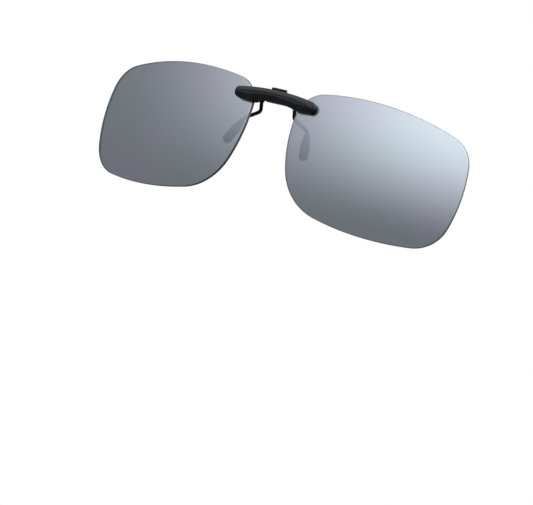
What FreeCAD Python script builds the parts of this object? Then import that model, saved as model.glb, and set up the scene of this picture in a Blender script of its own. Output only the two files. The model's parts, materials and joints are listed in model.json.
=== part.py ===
import FreeCAD, Part
import math
import os

# Clip-on sunglasses: two mirrored lenses on a bevelled bridge. A thumb lever inside the bridge carries
# two wire arms with rubber pads, which hold the pair onto the wearer's spectacle lenses.
# Millimetres, as worn: +X is to the right of someone who faces the front, -Y is forward, away from the
# wearer, and +Z is up. The origin lies on the middle plane, where the pads press on a spectacle lens.

V = FreeCAD.Vector
X_AXIS = V(1, 0, 0)
Y_AXIS = V(0, 1, 0)
Z_AXIS = V(0, 0, 1)

# Lenses. Corners are (outward, up) from the lens centre, before they are rounded.
LENS_CENTRE = V(40.3, 1.0, 2.0)
LENS_RADIUS = 155.0
LENS_THICKNESS = 0.9
LENS_WRAP = 10.2
NASAL_BOTTOM = V(-24.6, 0, -17.6)
OUTER_BOTTOM = V(24.6, 0, -19.6)
OUTER_TOP = V(26.6, 0, 13.9)
NASAL_TOP = V(-30.9, 0, 17.6)
BOTTOM_BULGE, OUTER_BULGE, TOP_BULGE, NASAL_BULGE = 3.3, 3.1, 4.3, 3.6
NASAL_BOTTOM_R, OUTER_BOTTOM_R, OUTER_TOP_R, NASAL_TOP_R = 19.0, 11.9, 10.4, 9.4

# Bridge frame: its origin is on the lens front, its Z runs up the lens and its Y runs back through it.
SEAT_X = 12.0
SEAT_ABOVE_CENTRE = 13.0
GASKET = 0.3

# Bridge cover, in the bridge frame.
COVER_TOP = 3.3
COVER_BOTTOM = -0.7
SHOULDER_X, SHOULDER_Z = 14.0, 2.1
TIP_X, TIP_Z = 14.9, 0.5
HEEL_X, HEEL_Z = 13.1, -1.5
ARCH_X, ARCH_Z = 8.7, -1.75
# How far each point moves in X and Z for every millimetre that the outline is drawn in.
SHOULDER_DRAW = V(-0.9, 0, -0.9)
TIP_DRAW = V(-1.25, 0, -0.12)
HEEL_DRAW = V(-0.45, 0, 0.9)
COVER_SIDE = 2.0
BEVEL_DEPTH = 1.2
BEVEL_INSET = 1.65
CHANNEL_DEPTH = 1.2
CHANNEL_TOP = 2.5
NOTCH_BOTTOM = 2.2

# Rear housing, in the bridge frame.
HOUSING_X = 7.9
HOUSING_WALL = 0.6
HOUSING_BACK = 3.0
HOUSING_BOTTOM = 0.1
HOUSING_TOP = 2.9
WING_FRONT = LENS_THICKNESS + 0.1
WING_THICKNESS = 0.75
WING_INSET = 0.4

# Lens fixings.
FIXING_XZ = [(10.7, 0.1), (12.9, 0.1)]
RIVET_R = 0.5
RIVET_IN_COVER = 1.0
RIVET_HEAD_R = 0.9
RIVET_HEAD = 0.35
BUSHING_R = 0.8

# Hinge and thumb lever, in the bridge frame.
AXIS_Y, AXIS_Z = 0.9, 1.0
PIN_R = 0.4
RUNNING_GAP = 0.03
BARREL_R = 1.1
BARREL_IN, BARREL_OUT = 2.6, 7.0
WASHER_R = 1.0
TAB_Y, TAB_Z = -0.9, 4.3
TAB_HALF_WIDTH = 2.7
TAB_THICKNESS = 0.8
TAB_CLEARANCE = 0.2
WEB_HALF_WIDTH = 4.4
WEB_FROM, WEB_TO = 0.65, 1.45
SPRING_MEAN_R = 0.75
SPRING_WIRE_R = 0.13
SPRING_LEG_R = 0.135
SPRING_PITCH = 0.5
SPRING_TURNS = 7.2
LOW_LEG, HIGH_LEG = 1.45, 1.0

# Wire arms and pads, for the right-hand side, in the part's own frame.
WIRE_R = 0.6
WIRE_IN_BARREL = 0.55
ARM_DROP = V(6.3, 2.0, 11.4)
ARM_KNEE = V(11.8, 3.0, 8.6)
PAD_TIP = V(14.9, 0.5, -1.0)
DROP_BEND_R = 1.7
KNEE_BEND_R = 1.5
SOCKET_R = 0.9
SOCKET_FROM, SOCKET_TO = 1.0, 1.9
PAD_LENGTH = 9.4
WIRE_STOPS_SHORT = 2.4
# Pad sections from the neck to the tip: share of the length, width and thickness.
PAD_SECTIONS = [
    (0.0, 1.9, 1.5), (0.16, 2.5, 1.7), (0.4, 3.0, 1.7), (0.75, 3.2, 1.7), (0.93, 2.7, 1.5), (1.0, 1.5, 0.9)]


def rounded_outline(corners, bulges, radii):
    """Closed wire in the XZ plane: bulged edges between the corners, each corner rounded to its radius."""
    circles = []
    for i, corner in enumerate(corners):
        nxt = corners[(i + 1) % len(corners)]
        chord = nxt - corner
        outward = V(chord.z, 0, -chord.x).normalize()
        radius = (chord.Length ** 2 / 4 + bulges[i] ** 2) / (2 * bulges[i])
        circles.append(((corner + nxt) / 2 + outward * (bulges[i] - radius), radius))
    ends = []
    for i, corner in enumerate(corners):
        (c1, r1), (c2, r2), r = circles[i - 1], circles[i], radii[i]
        apart = (c2 - c1).Length
        along = ((r1 - r) ** 2 - (r2 - r) ** 2 + apart ** 2) / (2 * apart)
        aside = math.sqrt((r1 - r) ** 2 - along ** 2)
        unit = (c2 - c1) / apart
        normal = V(-unit.z, 0, unit.x)
        centres = [c1 + unit * along + normal * aside, c1 + unit * along - normal * aside]
        centre = min(centres, key=lambda p: (p - corner).Length)
        start = c1 + (centre - c1) * (r1 / (r1 - r))
        stop = c2 + (centre - c2) * (r2 / (r2 - r))
        middle = centre + ((start + stop) / 2 - centre).normalize() * r
        ends.append((start, middle, stop))
    edges = []
    for i, (start, middle, stop) in enumerate(ends):
        edges.append(Part.Arc(start, middle, stop).toShape())
        centre, radius = circles[i]
        nxt = ends[(i + 1) % len(ends)][0]
        top = centre + ((stop + nxt) / 2 - centre).normalize() * radius
        edges.append(Part.Arc(stop, top, nxt).toShape())
    return Part.Wire(edges)


def prism(wire, y_from, y_to):
    """Solid between two Y values with the outline of a wire drawn in the XZ plane."""
    face = Part.Face(wire)
    face.translate(V(0, y_from, 0))
    return face.extrude(V(0, y_to - y_from, 0))


def rod(start, end, radius):
    return Part.makeCylinder(radius, (end - start).Length, start, end - start)


def block(x, y, z):
    """Box from three (low, high) pairs."""
    return Part.makeBox(x[1] - x[0], y[1] - y[0], z[1] - z[0], V(x[0], y[0], z[0]))


def mirrored(shape):
    return shape.mirror(V(0, 0, 0), X_AXIS)


def both_sides(shape):
    return [shape, mirrored(shape)]


def one_solid(shape):
    return shape.removeSplitter().Solids[0]


# Bridge frame placement, worked out from where the lens front passes the seat.
_wrap = math.radians(LENS_WRAP)
SPHERE_CENTRE = LENS_CENTRE + V(-math.sin(_wrap), math.cos(_wrap), 0) * LENS_RADIUS
SEAT_Y = SPHERE_CENTRE.y - math.sqrt(
    LENS_RADIUS ** 2 - (SEAT_X - SPHERE_CENTRE.x) ** 2 - SEAT_ABOVE_CENTRE ** 2)
SEAT_TILT = math.degrees(math.asin(SEAT_ABOVE_CENTRE / LENS_RADIUS))
BRIDGE = FreeCAD.Placement(
    V(0, SEAT_Y, LENS_CENTRE.z + SEAT_ABOVE_CENTRE), FreeCAD.Rotation(X_AXIS, -SEAT_TILT))
AXIS_POINT = V(0, AXIS_Y, AXIS_Z)


def on_bridge(shape):
    """Carries a shape from the bridge frame into the part's frame."""
    placed = shape.copy()
    placed.transformShape(BRIDGE.Matrix)
    return placed


def fixing_rods(radius, y_from, y_to):
    """One rod per lens fixing of the right-hand lens, in the bridge frame."""
    return [rod(V(x, y_from, z), V(x, y_to, z), radius) for x, z in FIXING_XZ]


def lens_blank():
    """Right-hand lens without its holes: the outline cut out of a spherical shell."""
    outline = rounded_outline(
        [NASAL_BOTTOM, OUTER_BOTTOM, OUTER_TOP, NASAL_TOP],
        [BOTTOM_BULGE, OUTER_BULGE, TOP_BULGE, NASAL_BULGE],
        [NASAL_BOTTOM_R, OUTER_BOTTOM_R, OUTER_TOP_R, NASAL_TOP_R])
    centre = V(0, LENS_RADIUS, 0)
    shell = Part.makeSphere(LENS_RADIUS, centre).cut(Part.makeSphere(LENS_RADIUS - LENS_THICKNESS, centre))
    lens = prism(outline, -2, LENS_RADIUS / 8).common(shell)
    lens.rotate(V(0, 0, 0), Z_AXIS, LENS_WRAP)
    lens.translate(LENS_CENTRE)
    return one_solid(lens)


def lens(blank):
    holes = [on_bridge(r) for r in fixing_rods(BUSHING_R, -2, 4)]
    return blank.cut(holes)


def bridge_outline(inset):
    """Outline of the bridge bar in the XZ plane, drawn in by the inset all round."""
    shoulder = V(SHOULDER_X, 0, SHOULDER_Z) + SHOULDER_DRAW * inset
    tip = V(TIP_X, 0, TIP_Z) + TIP_DRAW * inset
    heel = V(HEEL_X, 0, HEEL_Z) + HEEL_DRAW * inset
    arch = V(ARCH_X, 0, ARCH_Z + inset)
    top = V(0, 0, COVER_TOP - inset)
    bottom = V(0, 0, COVER_BOTTOM + inset)

    def left(p):
        return V(-p.x, 0, p.z)

    return Part.Wire([
        Part.Arc(left(shoulder), top, shoulder).toShape(),
        Part.Arc(shoulder, tip, heel).toShape(),
        Part.makeLine(heel, arch),
        Part.Arc(arch, bottom, left(arch)).toShape(),
        Part.makeLine(left(arch), left(heel)),
        Part.Arc(left(heel), left(tip), left(shoulder)).toShape()])


def bridge_cover():
    """Front bar: a straight side, then a bevel to a ridge. Behind the bevel, a channel takes the lever and
    a notch in the top lets its thumb tab out."""
    back = -GASKET
    side = back - COVER_SIDE
    rim = bridge_outline(0)
    rim.translate(V(0, side, 0))
    ridge = bridge_outline(BEVEL_INSET)
    ridge.translate(V(0, side - BEVEL_DEPTH, 0))
    bar = prism(bridge_outline(0), back, side).fuse(Part.makeLoft([rim, ridge], True, True))
    inner = HOUSING_X - HOUSING_WALL
    slot = TAB_HALF_WIDTH + TAB_CLEARANCE
    channel = block((-inner, inner), (back - CHANNEL_DEPTH, back + 1), (-4, CHANNEL_TOP))
    notch = block((-slot, slot), (side, back + 1), (NOTCH_BOTTOM, 6))
    pockets = fixing_rods(RIVET_R, back - RIVET_IN_COVER, back + 1)
    return one_solid(on_bridge(bar.cut([channel, notch] + pockets + [mirrored(p) for p in pockets])))


def rear_housing():
    """Rear half of the bridge: a box round the hinge with a wing behind each lens."""
    front = -GASKET
    inner = HOUSING_X - HOUSING_WALL
    box = block((-HOUSING_X, HOUSING_X), (front, HOUSING_BACK), (HOUSING_BOTTOM, HOUSING_TOP))
    wings = prism(bridge_outline(WING_INSET), WING_FRONT, WING_FRONT + WING_THICKNESS)
    cavity = block((-inner, inner), (front - 1, HOUSING_BACK - HOUSING_WALL),
                   (-4, HOUSING_TOP - HOUSING_WALL))
    slot = WEB_HALF_WIDTH + TAB_CLEARANCE
    tab_slot = block((-slot, slot), (front - 1, AXIS_Y + TAB_THICKNESS), (0, 5))
    arm_slot = block((ARM_DROP.x - SOCKET_R - 0.1, inner), (front - 1, 6), (-4, AXIS_Z - 0.2))
    pin_hole = rod(V(-9, AXIS_Y, AXIS_Z), V(9, AXIS_Y, AXIS_Z), PIN_R)
    holes = fixing_rods(RIVET_R, 0, 4)
    cuts = [cavity, tab_slot, pin_hole] + both_sides(arm_slot) + holes + [mirrored(h) for h in holes]
    return one_solid(on_bridge(box.fuse(wings).cut(cuts)))


def lens_gasket(blank):
    """Soft shim between the cover and the right-hand lens, cut to the lens curve."""
    strip = prism(bridge_outline(0.3), -GASKET, 0.1)
    strip = strip.common(block((FIXING_XZ[0][0] - 1.2, 20), (-1, 1), (-3, 5)))
    return one_solid(on_bridge(strip.cut(fixing_rods(BUSHING_R, -1, 1))).cut(blank))


def lens_bushings():
    """Sleeves that line the two holes of the right-hand lens."""
    outer = fixing_rods(BUSHING_R, -GASKET, WING_FRONT)
    inner = fixing_rods(RIVET_R, -1, 3)
    return Part.makeCompound([on_bridge(o.cut(i)) for o, i in zip(outer, inner)])


def lens_rivets():
    """Two rivets of the right-hand lens, from the cover to a low head behind the wing."""
    back = WING_FRONT + WING_THICKNESS
    rivets = []
    for x, z in FIXING_XZ:
        shank = rod(V(x, -GASKET - RIVET_IN_COVER, z), V(x, back, z), RIVET_R)
        head = Part.makeCone(RIVET_HEAD_R, RIVET_HEAD_R * 0.6, RIVET_HEAD, V(x, back, z), Y_AXIS)
        rivets.append(on_bridge(one_solid(shank.fuse(head))))
    return Part.makeCompound(rivets)


def hinge_pin():
    return on_bridge(rod(V(-HOUSING_X, AXIS_Y, AXIS_Z), V(HOUSING_X, AXIS_Y, AXIS_Z), PIN_R))


def thrust_washers():
    """Thin rings that fill the gap between each barrel and the housing wall."""
    play = 0.02
    ends = [V(BARREL_OUT + play, AXIS_Y, AXIS_Z), V(HOUSING_X - HOUSING_WALL - play, AXIS_Y, AXIS_Z)]
    ring = rod(*ends, WASHER_R).cut(rod(*ends, PIN_R))
    return Part.makeCompound([on_bridge(r) for r in both_sides(ring)])


def on_stem(shape):
    """Turns a shape drawn upright above the hinge axis into the slope of the thumb tab."""
    slope = math.degrees(math.atan2(AXIS_Y - TAB_Y, TAB_Z - AXIS_Z))
    turned = shape.copy()
    turned.rotate(V(0, 0, 0), X_AXIS, slope)
    turned.translate(AXIS_POINT)
    return turned


def arm_start(distance):
    """Point on the right-hand arm's first run, at a distance below the hinge axis."""
    top = BRIDGE.multVec(AXIS_POINT) + X_AXIS * ARM_DROP.x
    return top + (ARM_DROP - top).normalize() * distance


def thumb_lever():
    """Two hinge barrels joined by a web under the thumb tab, drilled for the pin and the arms."""
    tab_length = math.hypot(AXIS_Y - TAB_Y, TAB_Z - AXIS_Z)
    half = TAB_THICKNESS / 2
    tab = block((-TAB_HALF_WIDTH, TAB_HALF_WIDTH), (-half, half), (WEB_TO - 0.2, tab_length))
    tab = tab.makeFillet(0.3, [e for e in tab.Edges if e.BoundBox.ZMin > tab_length - 0.01])
    web = block((-WEB_HALF_WIDTH, WEB_HALF_WIDTH), (-half, half), (WEB_FROM, WEB_TO))
    coil_room = rod(V(-BARREL_IN, 0, 0), V(BARREL_IN, 0, 0), BARREL_R)
    stem = on_stem(tab.fuse(web).cut(coil_room))
    barrel = rod(V(BARREL_IN, AXIS_Y, AXIS_Z), V(BARREL_OUT, AXIS_Y, AXIS_Z), BARREL_R)
    bore = rod(V(-9, AXIS_Y, AXIS_Z), V(9, AXIS_Y, AXIS_Z), PIN_R + RUNNING_GAP)
    lever = on_bridge(stem.fuse(both_sides(barrel)).cut(bore))
    hole = rod(arm_start(WIRE_IN_BARREL), arm_start(3), WIRE_R)
    return one_solid(lever.cut(both_sides(hole)))


def wire_socket():
    """Short collar, crimped round the right-hand arm below its barrel."""
    ends = [arm_start(SOCKET_FROM), arm_start(SOCKET_TO)]
    barrel = on_bridge(rod(V(0, AXIS_Y, AXIS_Z), V(9, AXIS_Y, AXIS_Z), BARREL_R))
    return one_solid(rod(*ends, SOCKET_R).cut([rod(*ends, WIRE_R), barrel]))


def bent_rod(points, radii, radius):
    """Round rod along straight runs joined by tangent arcs."""
    edges = []
    here = points[0]
    for before, corner, after, bend in zip(points, points[1:], points[2:], radii):
        back = (before - corner).normalize()
        on = (after - corner).normalize()
        turn = math.pi - back.getAngle(on)
        setback = bend * math.tan(turn / 2)
        start = corner + back * setback
        stop = corner + on * setback
        inward = (back + on).normalize()
        middle = corner + inward * (bend / math.cos(turn / 2) - bend)
        edges += [Part.makeLine(here, start), Part.Arc(start, middle, stop).toShape()]
        here = stop
    edges.append(Part.makeLine(here, points[-1]))
    circle = Part.Wire(Part.Circle(points[0], points[1] - points[0], radius).toShape())
    return Part.Wire(edges).makePipeShell([circle], True, False)


def pad_direction():
    return (PAD_TIP - ARM_KNEE).normalize()


def wire_end():
    return PAD_TIP - pad_direction() * WIRE_STOPS_SHORT


def wire_arm():
    """Right-hand arm: down and back out of the lever, across behind the lens, then down into the pad."""
    points = [arm_start(WIRE_IN_BARREL), ARM_DROP, ARM_KNEE, wire_end()]
    return one_solid(bent_rod(points, [DROP_BEND_R, KNEE_BEND_R], WIRE_R))


def pad():
    """Right-hand rubber pad: a flat paddle with a narrow neck and a rounded tip, moulded on the wire."""
    along = pad_direction()
    across = Y_AXIS.cross(along).normalize()
    neck = PAD_TIP - along * PAD_LENGTH
    rings = []
    for share, width, thickness in PAD_SECTIONS:
        ellipse = Part.Ellipse(V(0, 0, 0), width / 2, thickness / 2).toShape()
        turn = FreeCAD.Rotation(across, along.cross(across), along, "XYZ")
        ellipse.Placement = FreeCAD.Placement(neck + along * (PAD_LENGTH * share), turn)
        rings.append(Part.Wire(ellipse))
    body = Part.makeLoft(rings, True, False)
    return one_solid(body.cut(rod(neck - along, wire_end(), WIRE_R)))


def torsion_spring():
    """Coil round the pin: one leg reaches the rear wall of the housing, the other the front of the tab."""
    length = SPRING_PITCH * SPRING_TURNS
    helix = Part.makeHelix(SPRING_PITCH, length, SPRING_MEAN_R)
    start = V(SPRING_MEAN_R, 0, 0)
    circle = Part.Wire(Part.Circle(start, Y_AXIS, SPRING_WIRE_R).toShape())
    coil = Part.Wire(helix.Edges).makePipeShell([circle], True, True)
    low_leg = rod(start, start - Y_AXIS * LOW_LEG, SPRING_LEG_R)
    turned = math.radians(360 * SPRING_TURNS)
    high_start = V(SPRING_MEAN_R * math.cos(turned), SPRING_MEAN_R * math.sin(turned), length)
    heading = V(-math.sin(turned), math.cos(turned), 0)
    high_leg = rod(high_start, high_start + heading * HIGH_LEG, SPRING_LEG_R)
    spring = coil.fuse([low_leg, high_leg])
    spring.rotate(V(0, 0, 0), Y_AXIS, 90)
    spring = spring.mirror(V(0, 0, 0), Y_AXIS)
    spring.translate(V(-length / 2, AXIS_Y, AXIS_Z))
    return on_bridge(spring)


def write(node, shape):
    shape.exportStep(os.path.join("parts", node + ".step"))
    box = shape.BoundBox
    print("%-22s solids %d  valid %s  volume %8.2f  x %.1f..%.1f  y %.1f..%.1f  z %.1f..%.1f" % (
        node, len(shape.Solids), shape.isValid(), shape.Volume,
        box.XMin, box.XMax, box.YMin, box.YMax, box.ZMin, box.ZMax))


def write_pair(stem, right):
    write(stem + "_right", right)
    write(stem + "_left", mirrored(right))


def main():
    os.makedirs("parts", exist_ok=True)
    blank = lens_blank()
    write_pair("lens", lens(blank))
    write("bridge_cover", bridge_cover())
    write("rear_housing", rear_housing())
    write_pair("lens_gasket", lens_gasket(blank))
    write_pair("lens_bushings", lens_bushings())
    write_pair("lens_rivets", lens_rivets())
    write("hinge_pin", hinge_pin())
    write("thrust_washers", thrust_washers())
    write("torsion_spring", torsion_spring())
    write("thumb_lever", thumb_lever())
    write_pair("wire_socket", wire_socket())
    write_pair("wire_arm", wire_arm())
    write_pair("pad", pad())
    axis = BRIDGE.multVec(AXIS_POINT)
    print("hinge axis along X through y %.3f z %.3f" % (axis.y, axis.z))


main()
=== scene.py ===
# %% [markdown]
# # Clip-on sunglasses
# Two mirrored lenses hang from a black bridge. A thumb lever inside the bridge carries two wire arms with
# rubber pads, which hold the pair onto the wearer's own spectacles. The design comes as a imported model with
# two rigid bodies: "frame" is the lenses and the bridge, and "clip" is everything that swings with the
# lever. This lesson gives each piece the surface and the finish that it has on the real object.

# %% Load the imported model
import json
import math

import bpy
import numpy as np
from mathutils import Matrix, Vector


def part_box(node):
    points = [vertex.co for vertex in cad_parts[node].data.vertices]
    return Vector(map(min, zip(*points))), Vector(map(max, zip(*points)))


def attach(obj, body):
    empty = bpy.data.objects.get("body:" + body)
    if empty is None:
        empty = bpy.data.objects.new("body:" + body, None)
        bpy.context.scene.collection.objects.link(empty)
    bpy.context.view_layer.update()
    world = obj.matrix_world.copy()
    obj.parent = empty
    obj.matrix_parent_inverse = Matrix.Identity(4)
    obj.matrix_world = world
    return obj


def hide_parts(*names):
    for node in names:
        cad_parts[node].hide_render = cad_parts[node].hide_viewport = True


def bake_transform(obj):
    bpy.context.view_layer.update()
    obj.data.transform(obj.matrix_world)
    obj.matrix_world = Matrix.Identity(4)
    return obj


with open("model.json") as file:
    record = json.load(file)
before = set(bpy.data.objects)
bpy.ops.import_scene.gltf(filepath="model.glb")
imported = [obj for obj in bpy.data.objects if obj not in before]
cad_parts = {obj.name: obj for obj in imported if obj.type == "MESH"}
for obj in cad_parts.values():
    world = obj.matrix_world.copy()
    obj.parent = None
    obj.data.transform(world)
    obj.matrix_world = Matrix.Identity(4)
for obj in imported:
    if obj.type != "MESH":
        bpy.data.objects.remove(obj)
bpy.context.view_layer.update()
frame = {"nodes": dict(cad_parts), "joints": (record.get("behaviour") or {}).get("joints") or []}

# %% [markdown]
# ## Units and axes
# The model is as worn: +X is to the right of someone who faces the front, -Y is forward and +Z is up.
# Small objects are easier to think about in millimetres, so every shape below is worked out in millimetres
# and turned into metres once, when its mesh is made.

# %% Working units
MM = 0.001


def unit(v):
    """A vector, or each row of an array, divided by its length."""
    v = np.asarray(v, float)
    return v / np.linalg.norm(v, axis=-1, keepdims=True)


def mirror_x(points):
    """The same points on the other side of the middle plane."""
    return np.asarray(points, float) * [-1, 1, 1]


# %% [markdown]
# ## The camera
# A product photographer would use a long lens from about a metre away, so that both lenses keep their
# proportions. The camera stands to the right of the pair and a little below it, and it is rolled, which
# makes the pair lie diagonally in the picture.

# %% Camera
VIEW_AZIMUTH, VIEW_ELEVATION, VIEW_ROLL = 30.853, -4.98, 17.45
VIEW_DISTANCE = 946.0
LOOK_AT = np.array([7.36, 8.76, -31.13])
FOCAL_LENGTH, SENSOR_WIDTH = 201.7, 36.0

turn, lift, roll = np.radians([VIEW_AZIMUTH, VIEW_ELEVATION, VIEW_ROLL])
level_right = np.array([math.cos(turn), math.sin(turn), 0])
to_camera = np.array([math.sin(turn) * math.cos(lift), -math.cos(turn) * math.cos(lift), math.sin(lift)])
level_up = np.cross(to_camera, level_right)
picture_right = math.cos(roll) * level_right + math.sin(roll) * level_up
picture_up = -math.sin(roll) * level_right + math.cos(roll) * level_up

camera = bpy.data.objects.new("camera", bpy.data.cameras.new("camera"))
camera.data.lens, camera.data.sensor_width = FOCAL_LENGTH, SENSOR_WIDTH
camera.data.clip_start, camera.data.clip_end = 0.05, 20
axes = np.stack([picture_right, picture_up, to_camera], axis=1)
place = Matrix([list(row) for row in axes]).to_4x4()
place.translation = Vector((LOOK_AT + to_camera * VIEW_DISTANCE) * MM)
camera.matrix_world = place
bpy.context.scene.collection.objects.link(camera)
bpy.context.scene.camera = camera
print("camera at", [round(c, 3) for c in place.translation])

# %% [markdown]
# ## From arrays to meshes
# Nearly every piece here is a loft: a stack of closed rings with the same number of points, joined by
# quads. One helper joins the rings, closes both ends, checks that the volume is positive, which means that
# the faces point outward, and makes the object. An end closes as one flat face, or as a fan of triangles
# to a point where the surface is domed.

# %% Loft helper
def loft(rings, start="face", end="face"):
    """Vertices and faces of a closed surface through rings, an array (rings, points, 3). Point j of ring i
    is vertex i * points + j, and each quad joins four neighbours, wrapping round the ring. Where the ends
    are joined, the last ring meets the first, as on a tube with a bore."""
    rings = np.asarray(rings, float)
    count, around = rings.shape[:2]
    joined = start == "joined"
    i, j = np.meshgrid(np.arange(count if joined else count - 1), np.arange(around), indexing="ij")
    after, below = (j + 1) % around, (i + 1) % count
    quads = np.stack([i * around + j, i * around + after, below * around + after, below * around + j], -1)
    points = rings.reshape(-1, 3)
    faces = quads.reshape(-1, 4).tolist()
    ends = [] if joined else [(start, rings[0], 0), (end, rings[-1], (count - 1) * around)]
    for kind, ring, first in ends:
        loop = np.arange(around) + first
        if kind == "face":
            faces.append((loop[::-1] if first == 0 else loop).tolist())
        else:
            points = np.vstack([points, ring.mean(0)])
            pair = np.stack([np.roll(loop, -1), loop] if first == 0 else [loop, np.roll(loop, -1)], -1)
            faces += np.column_stack([pair, np.full(around, len(points) - 1)]).tolist()
    return points, faces


def volume(points, faces):
    """Signed volume: the sum over triangles of a corner fan of a . (b x c) / 6."""
    fans = np.array([(f[0], f[k], f[k + 1]) for f in faces for k in range(1, len(f) - 1)])
    a, b, c = points[fans[:, 0]], points[fans[:, 1]], points[fans[:, 2]]
    return float(np.einsum("ij,ij->i", a, np.cross(b, c)).sum() / 6)


SMOOTH_ANGLE = 35


def new_object(name, shells, smooth_angle=SMOOTH_ANGLE):
    """One object from a list of (points, faces) shells in millimetres, smooth up to an angle in degrees."""
    points, faces, total = [], [], 0
    for shell_points, shell_faces in shells:
        shell_points = np.asarray(shell_points, float)
        if volume(shell_points, shell_faces) < 0:
            shell_faces = [f[::-1] for f in shell_faces]
        faces += [[k + total for k in f] for f in shell_faces]
        points.append(shell_points)
        total += len(shell_points)
    mesh = bpy.data.meshes.new(name)
    mesh.from_pydata((np.vstack(points) * MM).tolist(), [], faces)
    mesh.shade_smooth()
    mesh.set_sharp_from_angle(angle=math.radians(smooth_angle))
    piece = bpy.data.objects.new(name, mesh)
    bpy.context.scene.collection.objects.link(piece)
    return piece


def apply_modifiers(piece):
    """Replaces a piece's mesh by what its modifiers make of it, and takes the modifiers away."""
    graph = bpy.context.evaluated_depsgraph_get()
    mesh = bpy.data.meshes.new_from_object(piece.evaluated_get(graph))
    piece.modifiers.clear()
    piece.data = mesh


def carve(piece, shells):
    """Cuts closed shells out of a piece with an exact boolean."""
    cutter = new_object("cutter", shells)
    cut = piece.modifiers.new("cut", "BOOLEAN")
    cut.operation, cut.solver, cut.object = "DIFFERENCE", "EXACT", cutter
    apply_modifiers(piece)
    piece.data.set_sharp_from_angle(angle=math.radians(SMOOTH_ANGLE))
    bpy.data.objects.remove(cutter)


def compare(piece, node):
    """Prints how far a piece's box is from the box of the CAD node that it stands for."""
    lo, hi = (np.array(c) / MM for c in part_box(node))
    co = np.empty(len(piece.data.vertices) * 3)
    piece.data.vertices.foreach_get("co", co)
    co = co.reshape(-1, 3) / MM
    gap = max(abs(co.min(0) - lo).max(), abs(co.max(0) - hi).max())
    print(f"{piece.name}: {len(piece.data.polygons)} faces, box within {gap:.2f} mm of {node}")


def stands_for(piece, node, body):
    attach(piece, body)
    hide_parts(node)
    compare(piece, node)
    return piece


# %% [markdown]
# ## Paths and round sections
# Pins, wires and rivets are circles carried along a line. Two helpers are enough: one turns a profile of
# (distance along, radius) into rings about a straight axis, as a lathe does, and one carries a circle
# along any path.

# %% Lathe and sweep helpers
def square_frame(direction, reference):
    """Two unit vectors across each direction: the reference made perpendicular to it, and their cross
    product."""
    across = unit(reference - direction * np.sum(reference * direction, axis=-1, keepdims=True))
    return across, np.cross(direction, across)


def circle(sides):
    """Cosine and sine of evenly spaced angles, shaped to multiply (rings, sides, 3) arrays."""
    angle = np.linspace(0, 2 * math.pi, sides, endpoint=False)
    return np.cos(angle)[None, :, None], np.sin(angle)[None, :, None]


def lathe(origin, axis, profile, sides=64, start="face", end="face"):
    """Surface of revolution: each (distance, radius) of the profile is one ring about the axis. The rings
    start from Z made square to the axis, or from X where the axis is nearly upright."""
    profile = np.asarray(profile, float)
    axis = unit(axis)
    upright = abs(axis[2]) > 0.9
    reference = np.array([1.0, 0, 0] if upright else [0, 0, 1.0])
    across, other = square_frame(axis, reference)
    cos, sin = circle(sides)
    centre = np.asarray(origin, float) + profile[:, :1] * axis
    return loft(centre[:, None] + profile[:, 1:, None] * (cos * across + sin * other), start, end)


END_SOFTNESS = 0.2
END_ANGLES = [90, 67, 45, 22, 0]


def sweep(path, tangents, radius, reference, sides=24):
    """Circle of a radius carried along a path. The cut ends have a soft edge, a quarter circle of a fifth
    of the radius: soft * (1 - sin) from the end, the circle is smaller by soft * (1 - cos)."""
    lean = np.radians(END_ANGLES)
    soft = END_SOFTNESS * radius
    inset, less = soft * (1 - np.sin(lean))[:, None], soft * (1 - np.cos(lean))
    size = np.concatenate([radius - less, np.full(len(path) - 2, radius), (radius - less)[::-1]])
    path = np.vstack([path[0] + inset * tangents[0], path[1:-1], path[-1] - inset[::-1] * tangents[-1]])
    first, last = (np.repeat(tangents[k:k + 1], len(lean), 0) for k in (0, len(tangents) - 1))
    tangents = np.vstack([first, tangents[1:-1], last])
    across, other = square_frame(tangents, np.asarray(reference, float))
    cos, sin = circle(sides)
    ring = cos * across[:, None] + sin * other[:, None]
    return loft(path[:, None] + size[:, None, None] * ring)


# %% [markdown]
# ## Node trees in a few words
# Every material is built from nodes. One small function adds a node with its settings and links, and one
# turns the hex colours of a paint chart into the linear values that a renderer adds and multiplies.

# %% Material helpers
def linear(hex_colour):
    """Linear RGBA of an sRGB hex colour: c / 12.92 below 0.04045, else ((c + 0.055) / 1.055) ** 2.4."""
    c = np.array([int(hex_colour[k:k + 2], 16) / 255 for k in (1, 3, 5)])
    flat = np.where(c <= 0.04045, c / 12.92, ((c + 0.055) / 1.055) ** 2.4)
    return (*flat.tolist(), 1.0)


def add(tree, kind, settings=None, **inputs):
    """Adds a node. Settings are its own properties. An input is a value, or a socket to link from. Its
    name's underscores stand for spaces, and i0, i1 and i2 are sockets by number."""
    node = tree.nodes.new("ShaderNode" + kind)
    for name, value in (settings or {}).items():
        setattr(node, name, value)
    for name, value in inputs.items():
        socket = node.inputs[int(name[1:]) if name[1:].isdigit() else name.replace("_", " ")]
        if isinstance(value, bpy.types.NodeSocket):
            tree.links.new(value, socket)
        else:
            socket.default_value = value
    return node


def new_material(name):
    """An empty material with its node tree, its Principled shader and the object coordinates."""
    material = bpy.data.materials.new(name)
    material.use_nodes = True
    tree = material.node_tree
    tree.nodes.clear()
    shader = add(tree, "BsdfPrincipled")
    add(tree, "OutputMaterial", Surface=shader.outputs["BSDF"])
    where = add(tree, "TexCoord").outputs["Object"]
    return material, tree, shader, where


def per_metre(size_mm):
    """Texture scale at which one cell of a pattern is this many millimetres across."""
    return 1 / (size_mm * MM)


def dress(piece, *materials):
    piece.data.materials.clear()
    for material in materials:
        piece.data.materials.append(material)


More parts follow.
